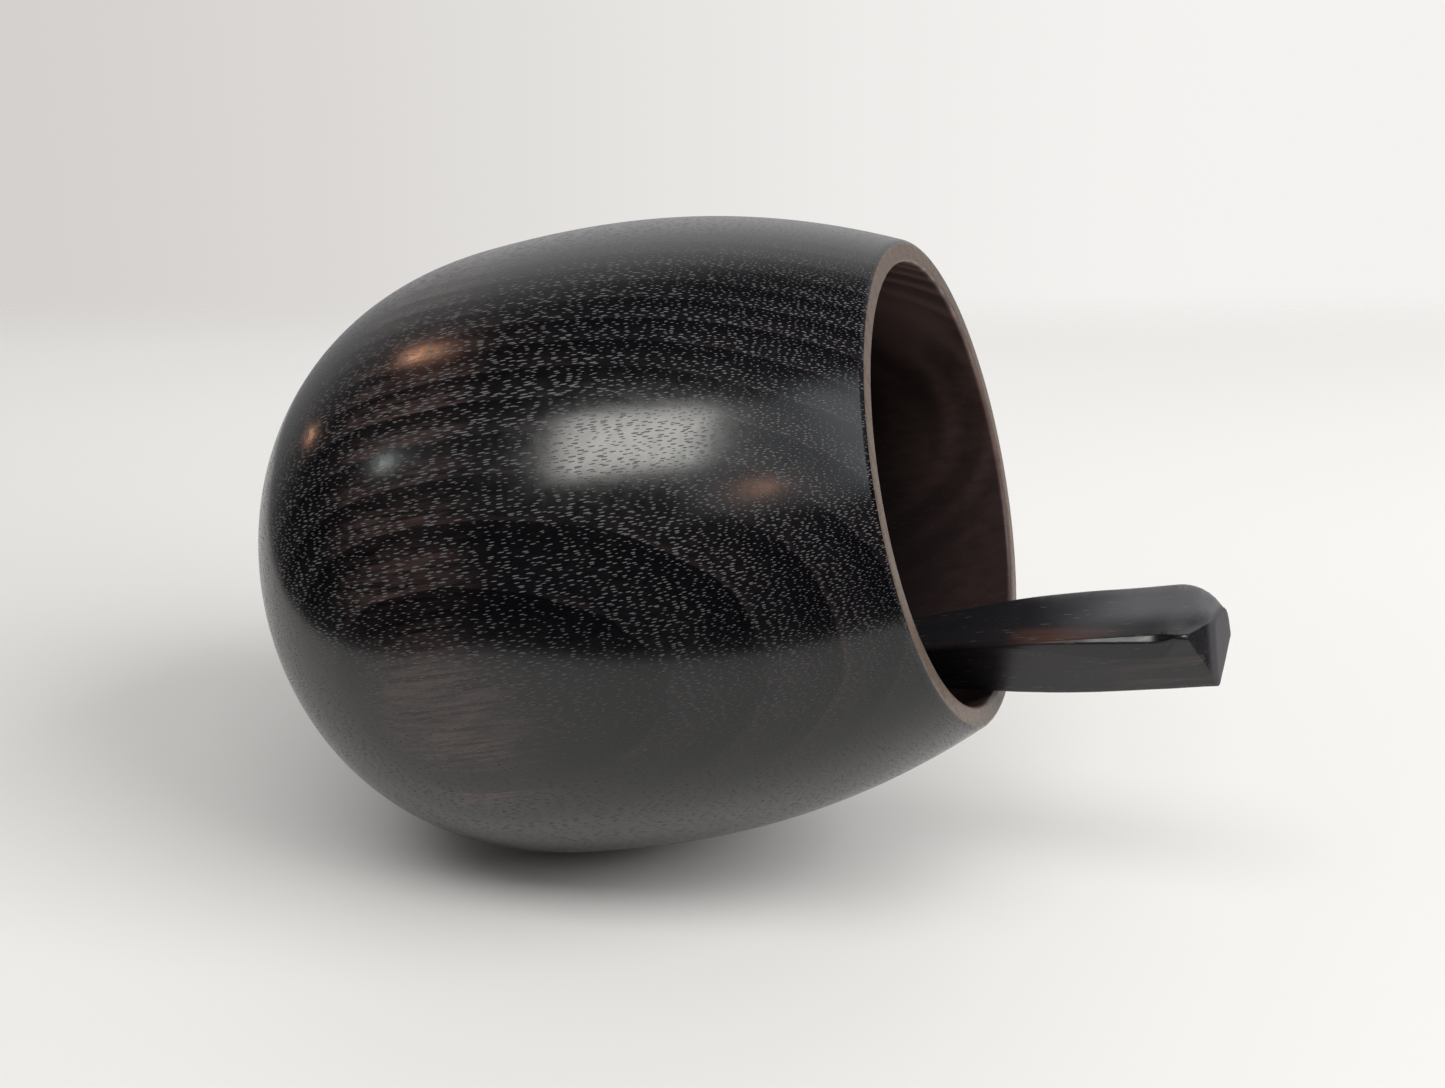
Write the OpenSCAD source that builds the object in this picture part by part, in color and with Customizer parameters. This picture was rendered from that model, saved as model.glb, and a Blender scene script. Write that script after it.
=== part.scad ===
// Handle-less barrel cup turned from one block of dark wood, with a small carved spoon in it.
// The cup stands on its flat base. +Z runs up its axis, and the origin is the base's centre.
// The spoon lies against the +Y side of the wall, with its handle out over the rim.

/* [Cup] */
// Height from the flat base to the rim
cup_h = 82.2; // [70:0.1:100]
// Outer diameter at the belly, the widest place
belly_d = 75.2; // [74:0.1:95]
// Outer diameter at the rim
rim_d = 55; // [54:0.1:70]
// Height of the belly, as a share of the cup's height
belly_share = 0.431; // [0.4:0.001:0.46]
// Diameter of the flat underside
base_d = 32; // [24:1:36]
// Wall thickness at the rim
rim_wall = 2.6; // [2:0.1:3.2]
// Wall thickness at the belly
belly_wall = 3.9; // [3:0.1:4.5]
// Thickness of the floor
floor_t = 8; // [6:0.5:9]

/* [Spoon] */
// Length of the handle that stands out of the mouth
handle_out = 26.4; // [15:0.1:40]
// Side of the handle's section near its end, before its ridge is cut
handle_w = 8.3; // [6:0.1:8.8]
// Side of the section at the neck, beside the bowl
neck_w = 5.2; // [4:0.1:6]
// Length of the bowl
bowl_l = 35; // [28:1:36]
// Width of the bowl
bowl_w = 27; // [20:1:28]
// Depth of the bowl, outside
bowl_depth = 11; // [8:0.5:11.5]
// Thickness of the bowl's wall
bowl_wall = 2; // [1.5:0.1:3]
// Length of the spoon inside the cup, from the mouth to the bowl's tip
spoon_in = 66; // [60:1:67]

/* [Hidden] */

// Bulge of the curve below the belly and above it: 2 is an ellipse, more is squarer.
low_power = 2.27;
high_power = 2.3;
// The hollow follows the same rule with a slightly rounder bottom.
hollow_power = 2.2;
curve_steps = 14;
rim_edge_r = 1;
mouth_edge_r = 0.5;
foot_edge_r = 6;
belly_z = cup_h * belly_share;

// The handle crosses the mouth here, leaning towards +X and rolled about its own length.
crossing = [0.85, 19.7, cup_h];
lean = 9.1;
roll = 20;
// Carved shape of the handle: lengths run along it from the mouth. The cut along the ridge runs out
// at cut_end. From round_start the far top edge rounds down, and the end slopes over the ridge.
cut_end = handle_out - 0.9;
round_start = handle_out - 4.2;
round_drop = 4.9;
top_tilt = 1.2;
slope_start = handle_out - 7.4;
end_slope = 1.6;
end_edge = 0.3;
neck_start = -22;
neck_end = 14;
ring_points = 24;
ring_step = 2.2;
end_step = 0.7;
bowl_z = bowl_l / 2 - spoon_in;

function unit(v) = v / norm(v);
function smooth(u) = let (c = max(0, min(1, u))) c * c * (3 - 2 * c);

// An arc of radius r that rounds the corner p between the points a and b.
function rounded(a, p, b, r, n = 4) =
    let (
        u = unit(a - p),
        v = unit(b - p),
        half = acos(u * v) / 2,
        centre = p + unit(u + v) * r / sin(half),
        from = p + u * r / tan(half) - centre,
        to = p + v * r / tan(half) - centre,
        sweep = 180 - 2 * half
    )
    [for (i = [0:n]) centre + (from * sin(sweep * (1 - i / n)) + to * sin(sweep * i / n)) / sin(sweep)];

// Radius of a barrel curve at height z: widest is r at the belly, mouth is its radius at the rim,
// and depth is how far below the belly it would close.
function barrel_r(z, r, mouth, depth, power) =
    z > belly_z
        ? r - (r - mouth) * pow((z - belly_z) / (cup_h - belly_z), high_power)
        : r * pow(1 - pow((belly_z - z) / depth, power), 1 / power);

// Points of a barrel curve from the angle a0 below the belly up to the belly, then to the rim.
function barrel(r, mouth, depth, power, a0) = concat(
    [for (i = [0:curve_steps])
        let (a = a0 * (1 - i / curve_steps))
        [r * pow(cos(a), 2 / power), belly_z - depth * pow(sin(a), 2 / power)]],
    [for (i = [1:curve_steps])
        let (z = belly_z + (cup_h - belly_z) * i / curve_steps)
        [barrel_r(z, r, mouth, depth, power), z]]
);
function reversed(list) = [for (i = [len(list) - 1:-1:0]) list[i]];
function middle(list) = [for (i = [1:len(list) - 2]) list[i]];

module cup() {
    outer_r = belly_d / 2;
    foot = pow(base_d / belly_d, low_power);
    outer_depth = belly_z / pow(1 - foot, 1 / low_power);
    foot_angle = acos(pow(base_d / belly_d, low_power / 2));
    outer = barrel(outer_r, rim_d / 2, outer_depth, low_power, foot_angle);
    inner = barrel(outer_r - belly_wall, rim_d / 2 - rim_wall, belly_z - floor_t, hollow_power, 90);
    last = len(outer) - 1;
    outline = concat(
        [[0, 0]],
        rounded([0, 0], outer[0], outer[1], foot_edge_r),
        middle(outer),
        rounded(outer[last - 1], outer[last], inner[last], rim_edge_r),
        rounded(outer[last], inner[last], inner[last - 1], mouth_edge_r),
        reversed(middle(inner)),
        [[0, floor_t]]
    );
    color([0.11, 0.09, 0.085]) rotate_extrude($fn = 120) polygon(outline);
}

// The handle's side at z, measured along the spoon from the mouth: slim at the neck, full at the
// end, fading out under the bowl.
function handle_side(z) =
    (neck_w + (handle_w - neck_w) * smooth((z - neck_start) / (neck_end - neck_start)))
    * smooth((z - bowl_z + bowl_l / 4) / (bowl_l / 2));

// How full an oval of length l is at z, from 0 at its ends to 1 at the bowl's middle.
function oval(z, l) = sqrt(max(0, 1 - pow((z - bowl_z) / (l / 2), 2)));

// Half width, depth below and height above the spoon's line at z. The height is negative where
// the bowl is hollow.
function half_width(z) = pow(pow(bowl_w / 2 * oval(z, bowl_l), 4) + pow(handle_side(z) / 2, 4), 1 / 4);
function below(z) = pow(pow(bowl_depth * pow(oval(z, bowl_l), 1.4), 3) + pow(handle_side(z) / 2, 3), 1 / 3);
function above(z) =
    handle_side(z) / 2 * smooth((z - bowl_z - bowl_l / 3) / (bowl_l / 4))
    - (bowl_depth - bowl_wall) * pow(oval(z, bowl_l - 3 * bowl_wall), 1.4);

// Power of the section's outline: squarish along the handle, round at the bowl.
function square_power(z) = 2 + 7 * smooth((z - bowl_z - bowl_l / 2) / (bowl_l / 2));
function bent(c, power) = sign(c) * pow(abs(c), 2 / power);

// Section of the bowl and neck, with its open side towards -Y.
function bowl_ring(z) =
    let (
        power = square_power(z),
        lip = bowl_wall * smooth(-above(z) / bowl_wall)
    )
    [for (i = [0:ring_points - 1])
        let (
            a = 360 * i / ring_points,
            s = sin(a),
            w = half_width(z) - (s < -0.01 ? lip : 0)
        )
        [w * bent(cos(a), power), (s < 0 ? above(z) : below(z)) * bent(s, power)]];

// Section of the handle: a square with its far top edge let down and a crested cut along the ridge.
function handle_ring(z) =
    let (
        h = handle_side(z) / 2,
        cut_top = 0.4 + 1.4 * smooth((z - 1) / 9) * smooth((cut_end - z) / 9),
        cut_front = 0.4 + 2.7 * smooth((z - 2) / 16) * smooth((cut_end - z) / 6),
        over = max(0, min(1, (z - round_start) / (handle_out + 0.1 - round_start))),
        drop = round_drop * (1 - sqrt(1 - over * over)),
        tilt = top_tilt * smooth((z - 1) / 16),
        sunk = 0.7 * smooth((z - 18) / 7),
        keel = [h, h],
        back = [-h, h],
        far = [-h - 1.2 * tilt, tilt + drop - h],
        top = [h - cut_top, sunk - h],
        front = [h, sunk + cut_front - h],
        crest = 0.6 * top + 0.4 * front + 0.22 * cut_front * [0.6, -0.8]
    )
    concat(
        [(front + keel) / 2],
        rounded(front, keel, back, 0.4),
        [(keel + back) / 2],
        rounded(keel, back, far, 0.6),
        [(back + far) / 2],
        rounded(back, far, top, 0.8 + 0.3 * drop),
        [(far + top) / 2, 0.97 * top + 0.03 * far, 0.8 * top + 0.2 * crest, crest],
        [0.8 * front + 0.2 * crest, 0.96 * front + 0.04 * keel]
    );

// One closed section of the spoon, drawn in by the factor scale.
function ring(z, scale = 1) =
    let (
        share = smooth((z + 10) / 8),
        b = bowl_ring(z),
        h = share > 0 ? handle_ring(z) : b,
        late = max(0, z - slope_start) / (handle_out - slope_start)
    )
    [for (i = [0:ring_points - 1])
        let (
            p = scale * (b[i] * (1 - share) + h[i] * share),
            slope = end_slope * max(0, min(1, (p[0] - p[1]) / handle_w))
        )
        [p[0], p[1], z - slope * late]];

module spoon() {
    tip = 0.15 - spoon_in;
    shoulder = handle_out - end_edge;
    steps = ceil((slope_start - tip) / ring_step);
    end_steps = ceil((shoulder - slope_start) / end_step);
    rings = concat(
        [for (i = [0:steps - 1]) ring(tip + (slope_start - tip) * i / steps)],
        [for (i = [0:end_steps]) ring(slope_start + (shoulder - slope_start) * i / end_steps)],
        [ring(handle_out, 0.96)]
    );
    n = ring_points;
    last = len(rings) - 1;
    sides = [for (k = [0:last - 1]) for (i = [0:n - 1])
        let (j = (i + 1) % n, a = k * n + i, b = k * n + j)
        each [[a, a + n, b], [b, a + n, b + n]]];
    // Each end is closed by a fan of triangles around a centre point.
    points = concat([for (r = rings) each r], [[0, below(tip) / 2, tip], [0, 0, handle_out]]);
    caps = [for (i = [0:n - 1])
        let (j = (i + 1) % n, hub = (last + 1) * n)
        each [[i, j, hub], [last * n + j, last * n + i, hub + 1]]];
    color([0.17, 0.12, 0.11])
        translate(crossing)
            rotate([0, lean, 0])
                rotate([0, 0, roll])
                    polyhedron(points, concat(sides, caps));
}

cup();
spoon();
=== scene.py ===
"""Looks for the barrel cup and its carved spoon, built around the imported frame.

The cup stands upright in its own frame. The table and the camera are placed around it as if it lay on
its side: the table touches the belly on the +Y side, where the spoon lies.
"""

from math import acos, atan2, ceil, cos, pi, radians, sin, sqrt, tan

import bpy
from mathutils import Matrix, Vector, noise


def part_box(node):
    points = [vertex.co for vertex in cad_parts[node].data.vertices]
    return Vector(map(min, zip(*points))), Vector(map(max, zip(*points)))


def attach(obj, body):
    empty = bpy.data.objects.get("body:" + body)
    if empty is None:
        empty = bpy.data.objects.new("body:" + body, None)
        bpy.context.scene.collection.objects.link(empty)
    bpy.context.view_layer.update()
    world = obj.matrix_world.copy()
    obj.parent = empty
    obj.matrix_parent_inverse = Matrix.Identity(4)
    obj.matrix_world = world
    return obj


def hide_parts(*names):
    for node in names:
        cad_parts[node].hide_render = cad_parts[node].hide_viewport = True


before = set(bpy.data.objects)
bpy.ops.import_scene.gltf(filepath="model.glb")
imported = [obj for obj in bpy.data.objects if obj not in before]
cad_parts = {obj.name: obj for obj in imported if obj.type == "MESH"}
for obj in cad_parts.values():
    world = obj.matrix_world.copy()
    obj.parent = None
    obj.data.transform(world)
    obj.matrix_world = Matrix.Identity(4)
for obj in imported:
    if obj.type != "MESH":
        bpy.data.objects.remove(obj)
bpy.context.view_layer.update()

MM = 0.001

# ---------------------------------------------------------------- the cup, in metres
cup_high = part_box("cup")[1]
CUP_H = cup_high.z
BELLY_R = cup_high.x
BELLY_Z = 0.431 * CUP_H
RIM_R = 27.5 * MM
BASE_R = 16 * MM
RIM_WALL = 2.6 * MM
BELLY_WALL = 3.9 * MM
FLOOR_T = 8 * MM
RIM_EDGE_R = 1.0 * MM
MOUTH_EDGE_R = 0.5 * MM
FOOT_EDGE_R = 6 * MM
LOW_POWER, HIGH_POWER, HOLLOW_POWER = 2.27, 2.3, 2.2
CUP_SEGMENTS = 256
CURVE_STEPS = 64
FOOT_STEPS, RIM_STEPS = 6, 4                # across the flat foot and the flat of the rim
RIM_FROM, RIM_TO = 6, 4                     # the rim's material starts and ends on these edge points
NEAR_AXIS = pi / 2 - 1e-4                   # the hollow's curve starts almost on the axis

# ---------------------------------------------------------------- the spoon, in metres
# The spoon's own line crosses the mouth here, leans towards +X and is rolled about its length. Its
# sections lie at heights along that line, from the crossing outwards.
CROSSING = Vector((0.85 * MM, 19.7 * MM, CUP_H))
LEAN, ROLL = radians(9.1), radians(20)
HANDLE_OUT = 26.35 * MM
HANDLE_W, NECK_W = 8.3 * MM, 5.2 * MM
BOWL_L, BOWL_W, BOWL_DEPTH, BOWL_WALL = 35 * MM, 27 * MM, 11 * MM, 2 * MM
BOWL_POWER = 1.4                            # the depth runs out faster than the width at the ends
SPOON_IN = 66 * MM
BOWL_Z = BOWL_L / 2 - SPOON_IN
TIP_GAP, TIP_LOW = 0.1 * MM, 0.2 * MM       # the first section, and the point that closes it
RING_STEP = 0.6 * MM
ARC_STEPS, FLAT_POINTS, CORNERS = 4, 7, 6
RING_POINTS = CORNERS * (ARC_STEPS + 1 + FLAT_POINTS)

# Heights between which the section changes, each as (from, to).
BOWL_FADE = (BOWL_Z - BOWL_L / 4, BOWL_Z + BOWL_L / 4)
BOWL_CLOSES = (BOWL_Z + BOWL_L / 3, BOWL_Z + BOWL_L * 7 / 12)
BOWL_TO_HANDLE = (-27 * MM, -15 * MM)
WIDENING = (-22 * MM, 14 * MM)
EDGE_SOFTENS = (-4 * MM, -20 * MM)
CUT_ON_TOP, CUT_ON_FRONT = (8 * MM, 21 * MM), (2 * MM, 18 * MM)
CUT_RUNS_OUT = (25.5 * MM, 21.5 * MM)
TOP_TILTS, TOP_SINKS = (1 * MM, 17 * MM), (-1 * MM, 21 * MM)
FAR_EDGE_ROUNDS = (22.2 * MM, HANDLE_OUT + 0.1 * MM)
END_SETTLES = (19 * MM, HANDLE_OUT)

# How far it changes.
EDGE_R, NECK_EDGE_R, CREST_R = 0.3 * MM, 1.6 * MM, 0.5 * MM
BACK_EDGE_MORE, FAR_EDGE_MORE = 0.3 * MM, 0.5 * MM      # added to the edge's radius
CUT_LEAST, CUT_TOP, CUT_FRONT = 0.4 * MM, 0.75 * MM, 2.0 * MM
CREST_TURN = radians(36)                    # of the cut's upper facet, from the top face
CREST_SHARE = 0.75                          # that facet's width, next to the cut's reach on the top
TOP_TILT = 1.45 * MM                        # the top face falls this far towards its far edge
TILT_OUT = 1.2                              # and that edge moves out this many times as far
TOP_SUNK, CUT_SUNK = 0.85 * MM, 0.45 * MM   # the second only as far as the cut goes
ROUND_DROP, ROUND_SHARE = 4.9 * MM, 0.3     # the far edge's drop, and its share in the radius
EDGE_ROOM = 0.45                            # of a facet may go to the rounding of each of its edges
END_SLOPE, END_EDGE = 1.9 * MM, 0.25 * MM
SQUARE_PART = 0.7 * MM                      # the square part of the end reaches past its middle
END_RINGS = ((0.985, 0.5), (0.955, 0.1), (0.9, 0), (0.7, 0), (0.5, 0), (0.3, 0), (0.1, 0))
KNIFE_LONG, KNIFE_SHORT = 0.10 * MM, 0.03 * MM

# ---------------------------------------------------------------- camera and table
LENS, SENSOR = 39.86, 36.0
CUP_RISE, CUP_TURN = radians(9.19), radians(23.6)   # the axis rises in the view and comes nearer
CAMERA_PITCH = radians(20)                          # how far the camera looks down on the table
RIM_FROM_CAMERA = Vector((25.58, -6.87, 180.1)) * MM    # right, down and ahead of the camera


def camera_axes():
    """The camera's right, down and ahead directions in the row frame, and the table's up."""
    axis = Vector((cos(CUP_TURN) * cos(CUP_RISE), -cos(CUP_TURN) * sin(CUP_RISE), -sin(CUP_TURN)))
    table_up = Vector((0, -cos(CAMERA_PITCH), -sin(CAMERA_PITCH)))
    low_side = -(table_up - table_up.dot(axis) * axis).normalized()
    to_row = Matrix((low_side.cross(axis), low_side, axis))
    return to_row, to_row @ table_up


TO_ROW, TABLE_UP = camera_axes()
CAMERA_AT = Vector((0, 0, CUP_H)) - TO_ROW @ RIM_FROM_CAMERA
AHEAD = TO_ROW @ Vector((0, 0, 1))
BACK = (AHEAD - AHEAD.dot(TABLE_UP) * TABLE_UP).normalized()    # along the table, away from the camera
RIGHT = BACK.cross(TABLE_UP)


def make_camera():
    data = bpy.data.cameras.new("camera")
    data.lens, data.sensor_width = LENS, SENSOR
    data.clip_start, data.clip_end = 0.01, 20
    camera = bpy.data.objects.new("camera", data)
    right, down = TO_ROW @ Vector((1, 0, 0)), TO_ROW @ Vector((0, 1, 0))
    turn = Matrix((right, -down, -AHEAD)).transposed()
    camera.matrix_world = Matrix.Translation(CAMERA_AT) @ turn.to_4x4()
    bpy.context.scene.collection.objects.link(camera)
    bpy.context.scene.camera = camera


def belly_contact():
    """The cup's lowest point over the table."""
    points = [v.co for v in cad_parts["cup"].data.vertices]
    return min(points, key=lambda p: p.dot(TABLE_UP)).copy()


def spoon_place():
    turn = Matrix.Rotation(LEAN, 4, "Y") @ Matrix.Rotation(ROLL, 4, "Z")
    return Matrix.Translation(CROSSING) @ turn


# ---------------------------------------------------------------- shape functions
def clamp01(u):
    return max(0.0, min(1.0, u))


def smooth(u):
    c = clamp01(u)
    return c * c * (3 - 2 * c)


def share_of(z, span):
    """How far z is from the span's first height to its second: 0 before it and 1 past it."""
    return clamp01((z - span[0]) / (span[1] - span[0]))


def half_angle(a, p, b):
    """Half the angle at p between the points a and b."""
    return acos(max(-1, min(1, (a - p).normalized().dot((b - p).normalized())))) / 2


def rounded(a, p, b, r, steps=8):
    """An arc of radius r that rounds the corner p between the points a and b."""
    a, p, b = Vector(a), Vector(p), Vector(b)
    u, v = (a - p).normalized(), (b - p).normalized()
    half = half_angle(a, p, b)
    centre = p + (u + v).normalized() * r / sin(half)
    start, end = p + u * r / tan(half) - centre, p + v * r / tan(half) - centre
    sweep = pi - 2 * half
    return [
        centre + (start * sin(sweep * (1 - i / steps)) + end * sin(sweep * i / steps)) / sin(sweep)
        for i in range(steps + 1)
    ]


def barrel(r, mouth, depth, power, a0):
    """Profile points of a barrel curve, from the angle a0 below the belly up to the rim."""
    low = [
        Vector((r * cos(a) ** (2 / power), BELLY_Z - depth * sin(a) ** (2 / power)))
        for a in (a0 * (1 - i / CURVE_STEPS) for i in range(CURVE_STEPS + 1))
    ]
    high = [
        Vector((r - (r - mouth) * t**HIGH_POWER, BELLY_Z + (CUP_H - BELLY_Z) * t))
        for t in (i / CURVE_STEPS for i in range(1, CURVE_STEPS + 1))
    ]
    return low + high


# ---------------------------------------------------------------- meshes
def mesh_piece(name, points, faces, materials, slots):
    mesh = bpy.data.meshes.new(name)
    mesh.from_pydata(points, [], faces)
    for material in materials:
        mesh.materials.append(material)
    for polygon, slot in zip(mesh.polygons, slots):
        polygon.material_index = slot
        polygon.use_smooth = True
    mesh.validate()
    piece = bpy.data.objects.new(name, mesh)
    bpy.context.scene.collection.objects.link(piece)
    return piece


def ring_faces(ring_count, n):
    """Quads between neighbouring rings of n points, ring by ring."""
    return [
        (k * n + i, k * n + (i + 1) % n, (k + 1) * n + (i + 1) % n, (k + 1) * n + i)
        for k in range(ring_count - 1)
        for i in range(n)
    ]


OUTSIDE, RIM, INSIDE = 0, 1, 2      # the cup's material slots


def cup_profile():
    """The cup's outline from the base's centre round to the floor's centre, as (point, slot)."""
    foot = (BASE_R / BELLY_R) ** LOW_POWER
    outer_depth = BELLY_Z / (1 - foot) ** (1 / LOW_POWER)
    foot_angle = acos((BASE_R / BELLY_R) ** (LOW_POWER / 2))
    outer = barrel(BELLY_R, RIM_R, outer_depth, LOW_POWER, foot_angle)
    inner = barrel(BELLY_R - BELLY_WALL, RIM_R - RIM_WALL, BELLY_Z - FLOOR_T, HOLLOW_POWER, NEAR_AXIS)
    foot_edge = rounded((0, 0), outer[0], outer[1], FOOT_EDGE_R)
    rim_edge = rounded(outer[-2], outer[-1], inner[-1], RIM_EDGE_R)
    mouth_edge = rounded(outer[-1], inner[-1], inner[-2], MOUTH_EDGE_R)
    flat = [Vector((BASE_R * k / FOOT_STEPS, 0)) for k in range(1, FOOT_STEPS)]
    rim_flat = [rim_edge[-1].lerp(mouth_edge[0], k / RIM_STEPS) for k in range(1, RIM_STEPS)]
    side = [p for p in outer if foot_edge[-1].y < p.y < rim_edge[0].y]
    outside = flat + foot_edge + side + rim_edge[:RIM_FROM]
    rim = rim_edge[RIM_FROM:] + rim_flat + mouth_edge[:RIM_TO]
    inside = mouth_edge[RIM_TO:] + [p for p in inner[:0:-1] if p.y < mouth_edge[-1].y]
    return [(p, OUTSIDE) for p in outside] + [(p, RIM) for p in rim] + [(p, INSIDE) for p in inside]


def make_cup(materials):
    profile = cup_profile()
    n = CUP_SEGMENTS
    points = [
        (p.x * cos(2 * pi * i / n), p.x * sin(2 * pi * i / n), p.y)
        for p, _ in profile
        for i in range(n)
    ]
    faces = ring_faces(len(profile), n)
    slots = [slot for _, slot in profile[1:] for _ in range(n)]
    last = len(profile) - 1
    under, floor = len(points), len(points) + 1
    points += [(0, 0, 0), (0, 0, FLOOR_T)]
    for i in range(n):
        j = (i + 1) % n
        faces += [(j, i, under), (last * n + i, last * n + j, floor)]
        slots += [OUTSIDE, INSIDE]
    return mesh_piece("cup_turned", points, faces, materials, slots)


def handle_side(z):
    full = NECK_W + (HANDLE_W - NECK_W) * smooth(share_of(z, WIDENING))
    return full * smooth(share_of(z, BOWL_FADE))


def oval(z, length):
    return sqrt(max(0.0, 1 - ((z - BOWL_Z) / (length / 2)) ** 2))


def bowl_ring(z):
    """A section of the bowl and neck: the outer hull below, the hollow above. The powers of 4 and 3
    let the wider of bowl and neck take over softly."""
    side = handle_side(z) / 2
    half_width = ((BOWL_W / 2 * oval(z, BOWL_L)) ** 4 + side**4) ** (1 / 4)
    below = ((BOWL_DEPTH * oval(z, BOWL_L) ** BOWL_POWER) ** 3 + side**3) ** (1 / 3)
    above = side * smooth(share_of(z, BOWL_CLOSES))
    above -= (BOWL_DEPTH - BOWL_WALL) * oval(z, BOWL_L - 3 * BOWL_WALL) ** BOWL_POWER
    lip = BOWL_WALL * smooth(-above / BOWL_WALL)
    ring = []
    for i in range(RING_POINTS):
        a = 2 * pi * (i + 0.5) / RING_POINTS
        s = sin(a)
        w = half_width - (lip * smooth(-s * 6) if s < 0 else 0)
        ring.append(Vector((w * cos(a), (above if s < 0 else below) * s, z)))
    return ring


def handle_corners(z):
    """Corners of the handle's carved section, as (point, edge radius), anticlockwise: the keel, the
    back edge, the far top edge, then the long cut along the ridge with the crest on it."""
    h = handle_side(z) / 2
    edge = EDGE_R + (NECK_EDGE_R - EDGE_R) * smooth(share_of(z, EDGE_SOFTENS))
    cut = smooth(share_of(z, CUT_RUNS_OUT))
    on_top = CUT_LEAST + CUT_TOP * share_of(z, CUT_ON_TOP) * cut
    on_front = CUT_LEAST + CUT_FRONT * smooth(share_of(z, CUT_ON_FRONT)) * cut
    drop = ROUND_DROP * (1 - sqrt(1 - share_of(z, FAR_EDGE_ROUNDS) ** 2))
    tilt = TOP_TILT * smooth(share_of(z, TOP_TILTS))
    sunk = share_of(z, TOP_SINKS) * (TOP_SUNK + CUT_SUNK * cut)
    top_edge, front_edge = Vector((h - on_top, sunk - h)), Vector((h, sunk + on_front - h))
    crest = top_edge + Vector((cos(CREST_TURN), sin(CREST_TURN))) * CREST_SHARE * on_top
    return [
        (Vector((h, h)), edge),
        (Vector((-h, h)), edge + BACK_EDGE_MORE),
        (Vector((-h - TILT_OUT * tilt, tilt + drop - h)), edge + FAR_EDGE_MORE + ROUND_SHARE * drop),
        (top_edge, edge),
        (crest, CREST_R),
        (front_edge, edge),
    ]


def handle_ring(z):
    """A section of the handle: flat facets between softened corners."""
    corners = handle_corners(z)
    arcs = []
    for k, (p, r) in enumerate(corners):
        a, b = corners[k - 1][0], corners[(k + 1) % CORNERS][0]
        room = EDGE_ROOM * min((a - p).length, (b - p).length) * tan(half_angle(a, p, b))
        arcs.append(rounded(a, p, b, min(r, room), ARC_STEPS))
    ring = []
    for k, arc in enumerate(arcs):
        start, end = arc[-1], arcs[(k + 1) % CORNERS][0]
        ring += arc + [start.lerp(end, (i + 1) / (FLAT_POINTS + 1)) for i in range(FLAT_POINTS)]
    first = min(range(len(ring)), key=lambda i: abs(atan2(ring[i].y, ring[i].x) - pi / RING_POINTS))
    ring = ring[first:] + ring[:first]
    return [Vector((p.x, p.y, z)) for p in ring]


def knife_marks(p, z):
    """How far the knife's unevenness moves a point outwards, in metres."""
    long_way = noise.noise(Vector((p.x * 260, p.y * 260, z * 95)))
    short_way = noise.noise(Vector((p.x * 600, p.y * 600, z * 320 + 40)))
    return KNIFE_LONG * long_way + KNIFE_SHORT * short_way


def end_height(p):
    """The end is cut square at the back and slopes down over the ridge's corner."""
    return HANDLE_OUT - END_SLOPE * clamp01((p.x - p.y - SQUARE_PART) / (HANDLE_W - SQUARE_PART))


def spoon_rings():
    """Sections from the bowl's tip to the handle's end, then the rings that close the end."""
    tip = -SPOON_IN + TIP_GAP
    count = ceil((HANDLE_OUT - tip) / RING_STEP)
    rings = []
    for k in range(count + 1):
        z = tip + (HANDLE_OUT - tip) * k / count
        handle = smooth(share_of(z, BOWL_TO_HANDLE))
        ring = [p.lerp(q, handle) for p, q in zip(bowl_ring(z), handle_ring(z))]
        ring = [p + Vector((p.x, p.y, 0)).normalized() * knife_marks(p, z) for p in ring]
        late = share_of(z, END_SETTLES)
        rings.append([p - Vector((0, 0, (HANDLE_OUT - end_height(p) + END_EDGE) * late)) for p in ring])
    edge = rings[-1]
    for size, sink in END_RINGS:
        ring = [Vector((p.x * size, p.y * size, 0)) for p in edge]
        rings.append([p + Vector((0, 0, end_height(p) - sink * END_EDGE)) for p in ring])
    return rings


def make_spoon(material):
    rings = spoon_rings()
    n = RING_POINTS
    points = [p for ring in rings for p in ring]
    faces = ring_faces(len(rings), n)
    last = len(rings) - 1
    hub = len(points)
    points += [Vector((0, TIP_LOW, rings[0][0].z)), Vector((0, 0, HANDLE_OUT))]
    faces += [((i + 1) % n, i, hub) for i in range(n)]
    faces += [(last * n + i, last * n + (i + 1) % n, hub + 1) for i in range(n)]
    place = spoon_place()
    return mesh_piece("spoon_carved", [place @ p for p in points], faces, [material], [0] * len(faces))


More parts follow.
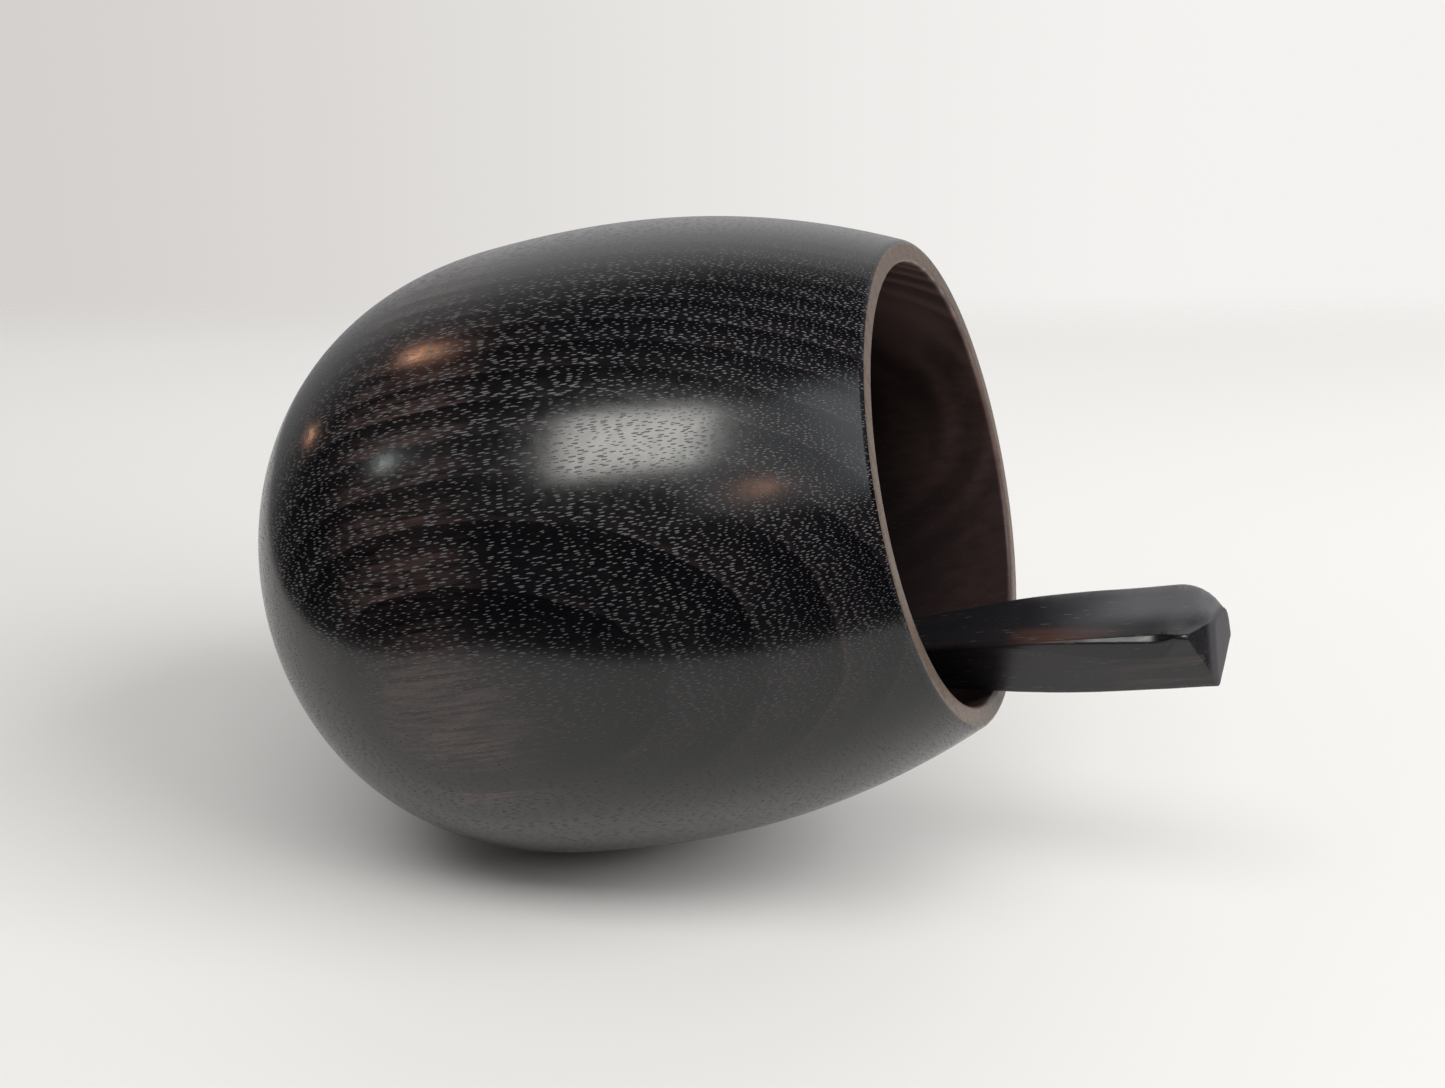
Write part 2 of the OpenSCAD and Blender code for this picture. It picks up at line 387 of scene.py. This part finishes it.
# ---------------------------------------------------------------- node graphs
class Graph:
    """A node tree with short calls for the few kinds of node that are used here."""

    def __init__(self, tree):
        self.tree = tree
        tree.nodes.clear()

    def put(self, kind, inputs=None, **settings):
        node = self.tree.nodes.new(kind)
        for name, value in settings.items():
            setattr(node, name, value)
        for name, value in (inputs or {}).items():
            if isinstance(value, bpy.types.NodeSocket):
                self.tree.links.new(value, node.inputs[name])
            else:
                node.inputs[name].default_value = value
        return node

    def math(self, operation, a, b):
        return self.put("ShaderNodeMath", {0: a, 1: b}, operation=operation).outputs[0]

    def times(self, first, *others):
        for other in others:
            first = self.math("MULTIPLY", first, other)
        return first

    def vector(self, operation, a, b):
        node = self.put("ShaderNodeVectorMath", {0: a, 1: b}, operation=operation)
        return node.outputs["Value" if operation == "DOT_PRODUCT" else "Vector"]

    def parts(self, point):
        return self.put("ShaderNodeSeparateXYZ", {"Vector": point}).outputs

    def step(self, value, low, high, start=0.0, end=1.0):
        """A smooth change from start to end as value goes from low to high."""
        inputs = {"Value": value, "From Min": low, "From Max": high, "To Min": start, "To Max": end}
        node = self.put("ShaderNodeMapRange", inputs, interpolation_type="SMOOTHSTEP")
        return node.outputs["Result"]

    def plateau(self, value, low, from_here, to_here, high):
        """1 from from_here to to_here, and 0 below low and above high."""
        return self.times(self.step(value, low, from_here), self.step(value, high, to_here))

    def mix(self, share, a, b):
        inputs = {0: share, 6: rgba(a), 7: rgba(b)}
        return self.put("ShaderNodeMix", inputs, data_type="RGBA").outputs[2]

    def noise(self, vector, scale, detail, roughness=0.5):
        inputs = {"Vector": vector, "Scale": scale, "Detail": detail, "Roughness": roughness}
        return self.put("ShaderNodeTexNoise", inputs).outputs["Fac"]


def rgba(colour):
    return colour if isinstance(colour, bpy.types.NodeSocket) else (*colour, 1.0)


def new_material(name):
    material = bpy.data.materials.new(name)
    material.use_nodes = True
    return material, Graph(material.node_tree)


# ---------------------------------------------------------------- wood
# The materials work in millimetres. Heights are up the cup's axis, or out along the spoon's own line.
RING_SPACING, RING_OFFSET = 2.6, 1.6
RING_TURN = radians(8)                      # the rings face this far round from +X towards +Y
BELT = (22, 30, 36, 46)                     # the heights between which the cup is rubbed brown
FOOT_ZONE = (3, 6)                          # the pores change here from end grain to side grain
PORE_SHADE_SPAN = (-22, 14)                        # painted shade: the pores grow paler from low to high on the lying cup
STRETCH_FROM, STRETCH = 40, 0.00045         # the skin is drawn out by the cube of the way from here
WOOD_IOR, WOOD_SPECULAR = 1.5, 0.5

SIDE_CELL, FOOT_CELL, RIM_CELL = (0.285, 2.0, 1.0), (0.3, 0.3, 2.0), (0.45, 0.45, 3.0)
HOLLOW_CELL, SPOON_CELL = (0.42, 0.42, 5.0), (0.4, 0.4, 3.5)

BLACK_WOOD, EARLY_WOOD = (0.0018, 0.0019, 0.0027), (0.0037, 0.0039, 0.0050)
BROWN_WOOD = (0.092, 0.059, 0.053)
# The second colour here is painted shade: the pores' colour on the low side of the lying cup.
PORE_DUST, LOW_PORE_SHADE = (0.148, 0.148, 0.155), (0.045, 0.044, 0.045)

RIM_WOOD, RIM_PALE = (0.122, 0.088, 0.066), (0.155, 0.118, 0.092)
RIM_RING, RIM_PORE = (0.07, 0.045, 0.034), (0.035, 0.024, 0.02)

# The hollow's shade and deep colours are painted shade, and its top colour is painted light.
HOLLOW_WOOD, HOLLOW_PALE = (0.15, 0.097, 0.095), (0.235, 0.145, 0.129)
HOLLOW_SHADE, HOLLOW_TOP_LIGHT = (0.02, 0.013, 0.013), (0.33, 0.215, 0.195)
HOLLOW_RING, HOLLOW_DEEP_SHADE = (0.045, 0.030, 0.030), (0.016, 0.011, 0.012)
HOLLOW_PORE = (0.07, 0.06, 0.055)

SPOON_WOOD, SPOON_STREAK = (0.014, 0.014, 0.0165), (0.045, 0.021, 0.016)
SPOON_RUBBED, SPOON_LOW_END = (0.085, 0.040, 0.030), (0.070, 0.048, 0.045)
# The top colour here is a painted reflection of the pale room on the spoon's top face.
SPOON_TOP_SHEEN, SPOON_END = (0.085, 0.085, 0.093), (0.055, 0.052, 0.058)


def in_millimetres(g, place=None):
    """The point in the piece's own frame, in millimetres."""
    point = g.put("ShaderNodeTexCoord").outputs["Object"]
    if place is not None:
        inputs = {"Location": place.translation, "Rotation": place.to_euler()}
        point = g.put("ShaderNodeMapping", {"Vector": point, **inputs}, vector_type="TEXTURE").outputs[0]
    return g.vector("MULTIPLY", point, (1 / MM, 1 / MM, 1 / MM))


def upward(g, point):
    """How far up from the cup's axis a point is, as the cup lies on the table."""
    return g.vector("DOT_PRODUCT", point, (TABLE_UP.x, TABLE_UP.y, 0))


def growth(g, point):
    """Where a point lies within its growth ring, from 0 to 1 inwards."""
    across = g.vector("DOT_PRODUCT", point, (cos(RING_TURN), sin(RING_TURN), 0))
    wander = g.noise(g.vector("MULTIPLY", point, (1, 1, 0.4)), 0.07, 3)
    field = g.math("ADD", across, g.times(g.math("SUBTRACT", wander, 0.5), 1.6))
    share = g.math("DIVIDE", g.math("SUBTRACT", field, RING_OFFSET), RING_SPACING)
    return g.math("FRACT", share, 0)


def pores(g, point, cell, size, dimensions="3D"):
    """Vessels as fine spindles, one to a cell: 1 inside one and 0 between them."""
    inputs = {"Vector": g.vector("DIVIDE", point, cell), "Scale": 1.0, "Randomness": 0.85}
    cells = g.put("ShaderNodeTexVoronoi", inputs, voronoi_dimensions=dimensions)
    spread = g.put("ShaderNodeSeparateColor", {"Color": cells.outputs["Color"]}).outputs[0]
    radius = g.times(g.math("ADD", g.times(spread, 0.4), 0.6), size)
    inside = g.math("SUBTRACT", radius, cells.outputs["Distance"])
    return g.step(inside, 0.0, 0.06)


def unrolled(g, point):
    """The cup's outer skin laid flat: X round the belly, Y up the cup. Y is drawn out towards the
    ends, where the skin cuts the vessels at a slant and they look shorter."""
    part = g.parts(point)
    around = g.times(g.math("ARCTAN2", part["Y"], part["X"]), BELLY_R / MM)
    off = g.math("SUBTRACT", part["Z"], STRETCH_FROM)
    up = g.math("ADD", part["Z"], g.times(off, off, off, STRETCH))
    return g.put("ShaderNodeCombineXYZ", {"X": around, "Y": up}).outputs[0]


def finish_wood(g, colour, roughness, height, depth):
    bump = g.put("ShaderNodeBump", {"Height": height, "Strength": 1.0, "Distance": depth})
    inputs = {
        "Base Color": colour,
        "Roughness": roughness,
        "Normal": bump.outputs[0],
        "IOR": WOOD_IOR,
        "Specular IOR Level": WOOD_SPECULAR,
    }
    shader = g.put("ShaderNodeBsdfPrincipled", inputs)
    g.put("ShaderNodeOutputMaterial", {"Surface": shader.outputs[0]})


def outside_wood(g, point, ring, streaks, clouds):
    """The cup's near-black wood, rubbed brown in a belt, with thin brown lines at the rings."""
    early = g.step(ring, 0.2, 0.75)
    belt = g.plateau(g.parts(point)["Z"], *BELT)
    worn = g.math("ADD", g.times(belt, 0.85), 0.10)
    worn = g.times(worn, g.step(streaks, 0.30, 0.70), g.math("ADD", g.times(early, 0.75), 0.25))
    worn = g.times(worn, g.step(clouds, 0.35, 0.6, 0.35, 1.0))
    broken = g.step(g.noise(point, 0.11, 3), 0.42, 0.62, 0.0, 0.13)
    line = g.times(g.plateau(ring, 0.88, 0.95, 0.975, 1.0), broken)
    wood = g.mix(early, BLACK_WOOD, EARLY_WOOD)
    wood = g.mix(worn, wood, BROWN_WOOD)
    return g.mix(line, wood, BROWN_WOOD)


def outside_pores(g, point, ring, clouds):
    """The cup's pores: dashes along its side and dots on its foot, larger in the early wood."""
    along = g.parts(point)["Z"]
    size = g.times(g.step(ring, 0.0, 0.8, 0.19, 0.28), g.step(clouds, 0.3, 0.7, 0.85, 1.1))
    low, high = FOOT_ZONE
    side = g.times(pores(g, unrolled(g, point), SIDE_CELL, size, "2D"), g.step(along, low, high))
    foot = g.times(pores(g, point, FOOT_CELL, size), g.step(along, high, low))
    return g.math("MAXIMUM", side, foot)


def cup_outside():
    """Near-black oiled wood with pale pores and a soft gloss."""
    material, g = new_material("cup_outside")
    point = in_millimetres(g)
    ring = growth(g, point)
    streaks = g.noise(g.vector("MULTIPLY", point, (1, 1, 0.06)), 1.9, 4, 0.7)
    clouds = g.noise(g.vector("MULTIPLY", point, (1, 1, 0.5)), 0.06, 2)
    wood = outside_wood(g, point, ring, streaks, clouds)
    vessels = outside_pores(g, point, ring, clouds)
    # The pores hold pale dust, and painted shade makes them darker towards the low side of the lying
    # cup.
    dust_and_shade = g.mix(g.step(upward(g, point), *PORE_SHADE_SPAN), LOW_PORE_SHADE, PORE_DUST)
    colour = g.mix(vessels, wood, dust_and_shade)
    roughness = g.step(g.noise(point, 0.8, 3), 0.3, 0.7, 0.165, 0.21)
    roughness = g.math("MAXIMUM", roughness, g.times(vessels, 0.85))
    height = g.math("SUBTRACT", g.times(streaks, 0.06), vessels)
    finish_wood(g, colour, roughness, height, 0.05 * MM)
    return material


def cup_rim():
    """Bare end grain round the mouth: warm brown with fine dark pores."""
    material, g = new_material("cup_rim")
    point = in_millimetres(g)
    grain = g.noise(point, 2.2, 4, 0.6)
    wood = g.mix(g.step(grain, 0.3, 0.7), RIM_WOOD, RIM_PALE)
    wood = g.mix(g.step(growth(g, point), 0.3, 0.0, 0.0, 0.45), wood, RIM_RING)
    vessels = pores(g, point, RIM_CELL, 0.3)
    colour = g.mix(g.times(vessels, 0.7), wood, RIM_PORE)
    height = g.math("SUBTRACT", g.times(grain, 0.2), vessels)
    finish_wood(g, colour, 0.45, height, 0.04 * MM)
    return material


def cup_inside():
    """The hollow: smooth reddish-brown wood with darker bands along the growth rings. Painted shade
    makes it darker deep inside and low down, and painted light makes it paler high up, as the cup lies."""
    material, g = new_material("cup_inside")
    point = in_millimetres(g)
    streaks = g.noise(g.vector("MULTIPLY", point, (1, 1, 0.1)), 0.9, 4, 0.6)
    up = upward(g, point)
    wood = g.mix(g.step(streaks, 0.25, 0.75), HOLLOW_WOOD, HOLLOW_PALE)
    # Painted shade: darker on the low side of the hollow as the cup lies.
    wood = g.mix(g.step(up, -16, 6), g.mix(0.7, wood, HOLLOW_SHADE), wood)
    # Painted light: paler on the side of the hollow that lies uppermost.
    wood = g.mix(g.step(up, 2, 20), wood, HOLLOW_TOP_LIGHT)
    band = g.plateau(growth(g, point), 0.0, 0.45, 0.7, 1.0)
    patches = g.step(g.noise(point, 0.09, 3), 0.38, 0.62, 0.1, 0.7)
    wood = g.mix(g.times(band, patches), wood, HOLLOW_RING)
    # Painted shade: darker deep inside the hollow.
    wood = g.mix(g.step(g.parts(point)["Z"], 80, 62, 0.0, 0.85), wood, HOLLOW_DEEP_SHADE)
    vessels = pores(g, point, HOLLOW_CELL, 0.24)
    colour = g.mix(g.times(vessels, 0.5), wood, HOLLOW_PORE)
    roughness = g.step(streaks, 0.3, 0.7, 0.36, 0.44)
    height = g.math("SUBTRACT", g.times(streaks, 0.1), vessels)
    finish_wood(g, colour, roughness, height, 0.03 * MM)
    return material


def spoon_wood():
    """The spoon: denser dark wood, polished, with reddish streaks along the grain. It is rubbed red
    along the crest and greyer on the cut end, and its top face is painted a paler blue-grey, a painted
    reflection."""
    material, g = new_material("spoon_wood")
    point = in_millimetres(g, spoon_place())
    along = g.parts(point)["Z"]
    streaks = g.noise(g.vector("MULTIPLY", point, (1, 1, 0.09)), 0.75, 4, 0.6)
    fine = g.noise(g.vector("MULTIPLY", point, (1, 1, 0.12)), 4.0, 3)
    ridge = g.vector("DOT_PRODUCT", point, (1, -1, 0))
    over = g.vector("DOT_PRODUCT", point, (1, 1, 0))
    rubbed = g.times(g.plateau(along, 3, 8, 12, 19), g.step(ridge, 4.0, 5.6))
    rubbed = g.times(rubbed, g.plateau(over, -3.2, -1.0, -0.1, 0.9))
    rubbed = g.times(rubbed, g.step(streaks, 0.35, 0.65, 0.35, 1.0))
    low_end = g.times(g.step(along, 12, 22), g.step(over, 1.5, 4.0))
    low_end = g.times(low_end, g.step(streaks, 0.42, 0.62, 0.0, 0.55))
    # Painted reflection: the top face is painted a paler blue-grey.
    top_sheen = g.times(g.step(along, 10, 20), g.step(over, -1.0, -4.0))
    wood = g.mix(g.step(streaks, 0.5, 0.7, 0.0, 0.2), SPOON_WOOD, SPOON_STREAK)
    wood = g.mix(rubbed, wood, SPOON_RUBBED)
    wood = g.mix(low_end, wood, SPOON_LOW_END)
    wood = g.mix(top_sheen, wood, SPOON_TOP_SHEEN)
    wood = g.mix(g.step(along, 25.75, 26.15), wood, SPOON_END)
    vessels = pores(g, point, SPOON_CELL, 0.22)
    colour = g.mix(g.times(vessels, 0.3), wood, PORE_DUST)
    roughness = g.step(fine, 0.3, 0.7, 0.27, 0.33)
    roughness = g.math("MAXIMUM", roughness, g.step(along, 25.6, 26.2, 0.0, 0.55))
    height = g.math("SUBTRACT", g.times(fine, 0.3), vessels)
    finish_wood(g, colour, roughness, height, 0.02 * MM)
    return material


# ---------------------------------------------------------------- floor, world and lights
FLOOR_FRONT, FLOOR_BACK = 0.112, 0.36
FLOOR_LEFT, FLOOR_RIGHT = 0.135, 0.24
FLOOR_WIDENING = 0.5
FLOOR_FADE = 0.10
# The second and third colours are painted light on the floor.
FLOOR_COLOUR, FLOOR_LIT, FLOOR_FAR_LIT = (0.88, 0.865, 0.84), (0.95, 0.935, 0.91), (0.97, 0.955, 0.93)

WALL_LEFT, WALL_RIGHT = (0.66, 0.635, 0.615), (0.90, 0.89, 0.872)
ROOM_LOW, ROOM_HIGH = (0.04, 0.039, 0.038), (0.32, 0.316, 0.312)
MIRROR_DARK, MIRROR_CEILING = (0.022, 0.022, 0.027), (0.05, 0.05, 0.055)
MIRROR_RIGHT, MIRROR_WALL = (0.29, 0.29, 0.325), (0.90, 0.895, 0.90)

SOFT_DISTANCE, NEAR_DISTANCE = 1.2, 0.8     # of the lights from the cup's middle
WARM, COOL_WHITE, WINDOW_WHITE = (1.0, 0.50, 0.30), (0.9, 1.0, 0.95), (1, 0.99, 0.94)
SKY_BLUE, GLOW_BLUE = (0.86, 0.94, 1.0), (0.93, 0.97, 1.0)


def floor_material():
    """Plain pale stone, with painted light making it paler to the right and far back. It shows only from
    above, and its far edge fades out."""
    material, g = new_material("pale_floor")
    part = g.parts(g.put("ShaderNodeTexCoord").outputs["Object"])
    # Painted light: the floor is paler to the right and far back.
    painted_light = g.times(g.step(part["X"], -0.12, 0.12), g.step(part["Y"], -0.02, 0.14))
    colour = g.mix(painted_light, FLOOR_COLOUR, FLOOR_LIT)
    colour = g.mix(g.step(part["Y"], 0.05, 0.22), colour, FLOOR_FAR_LIT)
    stone = {"Base Color": colour, "Roughness": 0.5, "Specular IOR Level": 0.3}
    stone = g.put("ShaderNodeBsdfPrincipled", stone).outputs[0]
    clear = g.put("ShaderNodeBsdfTransparent").outputs[0]
    far = g.step(part["Y"], FLOOR_BACK - FLOOR_FADE, FLOOR_BACK)
    behind = g.put("ShaderNodeNewGeometry").outputs["Backfacing"]
    hidden = g.math("MAXIMUM", far, behind)
    shader = g.put("ShaderNodeMixShader", {0: hidden, 1: stone, 2: clear})
    g.put("ShaderNodeOutputMaterial", {"Surface": shader.outputs[0]})
    return material


def make_floor(contact):
    """A table top under the belly, wider at the back, in its own frame: X right, Y back, Z up."""
    corners = []
    for y in (-FLOOR_FRONT, FLOOR_BACK):
        corners += [(-FLOOR_LEFT - FLOOR_WIDENING * y, y, 0), (FLOOR_RIGHT + FLOOR_WIDENING * y, y, 0)]
    mesh = bpy.data.meshes.new("floor")
    mesh.from_pydata(corners, [], [(0, 1, 3, 2)])
    mesh.materials.append(floor_material())
    floor = bpy.data.objects.new("floor", mesh)
    turn = Matrix((RIGHT, BACK, TABLE_UP)).transposed()
    floor.matrix_world = Matrix.Translation(contact) @ turn.to_4x4()
    bpy.context.scene.collection.objects.link(floor)


def towards(azimuth, elevation):
    """A direction over the table, in degrees: azimuth 0 is towards the camera, 90 to its right."""
    a, e = radians(azimuth), radians(elevation)
    return (sin(a) * RIGHT - cos(a) * BACK) * cos(e) + sin(e) * TABLE_UP


def make_world():
    """A pale room, brighter to the right and front. What the wood mirrors is its own darker version:
    a dim room, a grey ceiling and the bright wall behind the table."""
    world = bpy.data.worlds.new("room")
    bpy.context.scene.world = world
    world.use_nodes = True
    world.cycles.sampling_method = "NONE"
    g = Graph(world.node_tree)
    direction = g.put("ShaderNodeTexCoord").outputs["Generated"]
    rays = g.put("ShaderNodeLightPath").outputs
    side = g.vector("DOT_PRODUCT", direction, RIGHT)
    height = g.vector("DOT_PRODUCT", direction, TABLE_UP)
    depth = g.vector("DOT_PRODUCT", direction, BACK)
    on_wall = g.times(g.step(depth, 0.3, 0.8), g.step(height, 0.97, 0.74))
    on_wall = g.times(on_wall, g.step(height, -0.3, 0.5, 0.45, 1.0), g.step(side, -0.7, -0.05, 0.5, 1.0))
    room = g.mix(g.step(height, -0.1, 0.9), ROOM_LOW, ROOM_HIGH)
    room = g.mix(g.times(on_wall, 0.6), room, MIRROR_WALL)
    mirrored = g.mix(g.step(height, 0.88, 0.98), MIRROR_DARK, MIRROR_CEILING)
    on_right = g.times(g.step(side, 0.3, 0.6), g.step(height, 0.3, 0.6))
    mirrored = g.mix(on_right, mirrored, MIRROR_RIGHT)
    mirrored = g.mix(on_wall, mirrored, MIRROR_WALL)
    wall = g.mix(g.step(side, -0.45, 0.3), WALL_LEFT, WALL_RIGHT)
    colour = g.mix(rays["Is Glossy Ray"], room, mirrored)
    colour = g.mix(rays["Is Camera Ray"], colour, wall)
    background = g.put("ShaderNodeBackground", {"Color": colour, "Strength": 1.0})
    g.put("ShaderNodeOutputWorld", {"Surface": background.outputs[0]})


def area_light(name, direction, size, radiance, colour=(1, 1, 1), roll=0.0, distance=NEAR_DISTANCE):
    """A rectangular light that faces the cup. Its size is in metres and its first side is level,
    before it is rolled by so many degrees."""
    data = bpy.data.lights.new(name, "AREA")
    data.shape = "RECTANGLE"
    data.size, data.size_y = size
    data.energy = radiance * pi * size[0] * size[1]
    data.color = colour
    light = bpy.data.objects.new(name, data)
    outward = Vector(direction).normalized()
    side = TABLE_UP.cross(outward).normalized()
    turn = Matrix((side, outward.cross(side), outward)).transposed()
    place = Matrix.Translation(Vector((0, 0, CUP_H / 2)) + outward * distance)
    light.matrix_world = place @ turn.to_4x4() @ Matrix.Rotation(radians(roll), 4, "Z")
    bpy.context.scene.collection.objects.link(light)
    return light


def make_lights():
    """The key and the fill only light; the window, its glow and the lamps only show in the gloss."""
    key = area_light("key", towards(60, 37), (0.75, 0.6), 7.8, distance=SOFT_DISTANCE)
    key.visible_glossy = False
    fill = area_light("fill", towards(-10, 58), (1.3, 0.4), 3.8, distance=SOFT_DISTANCE)
    fill.visible_glossy = False
    mirrored = (
        ("glow", towards(8, 41), (0.75, 0.6), 0.8, GLOW_BLUE, 0),
        ("sky", towards(23, 47), (0.34, 0.6), 1.2, SKY_BLUE, 0),
        ("window", towards(-37, 43.5), (0.33, 0.285), 10.9, WINDOW_WHITE, 20),
        ("lamp_left", (-0.10, -0.83, -0.54), (0.045, 0.045), 22, WARM, 0),
        ("lamp_low", (-0.14, -0.47, -0.87), (0.035, 0.035), 13, WARM, 0),
        ("lamp_right", (0.86, -0.39, 0.33), (0.045, 0.045), 18, WARM, 0),
        ("lamp_white", (0.44, -0.65, -0.61), (0.03, 0.03), 34, COOL_WHITE, 0),
    )
    for name, direction, size, radiance, colour, roll in mirrored:
        light = area_light(name, direction, size, radiance, colour, roll)
        light.visible_diffuse = False


# ---------------------------------------------------------------- the scene
def build():
    make_camera()
    make_floor(belly_contact())
    make_world()
    make_lights()
    cup = make_cup([cup_outside(), cup_rim(), cup_inside()])
    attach(cup, "cup")
    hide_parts("cup")
    spoon = make_spoon(spoon_wood())
    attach(spoon, "spoon")
    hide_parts("spoon")
    bpy.context.scene.view_settings.view_transform = "Standard"


build()
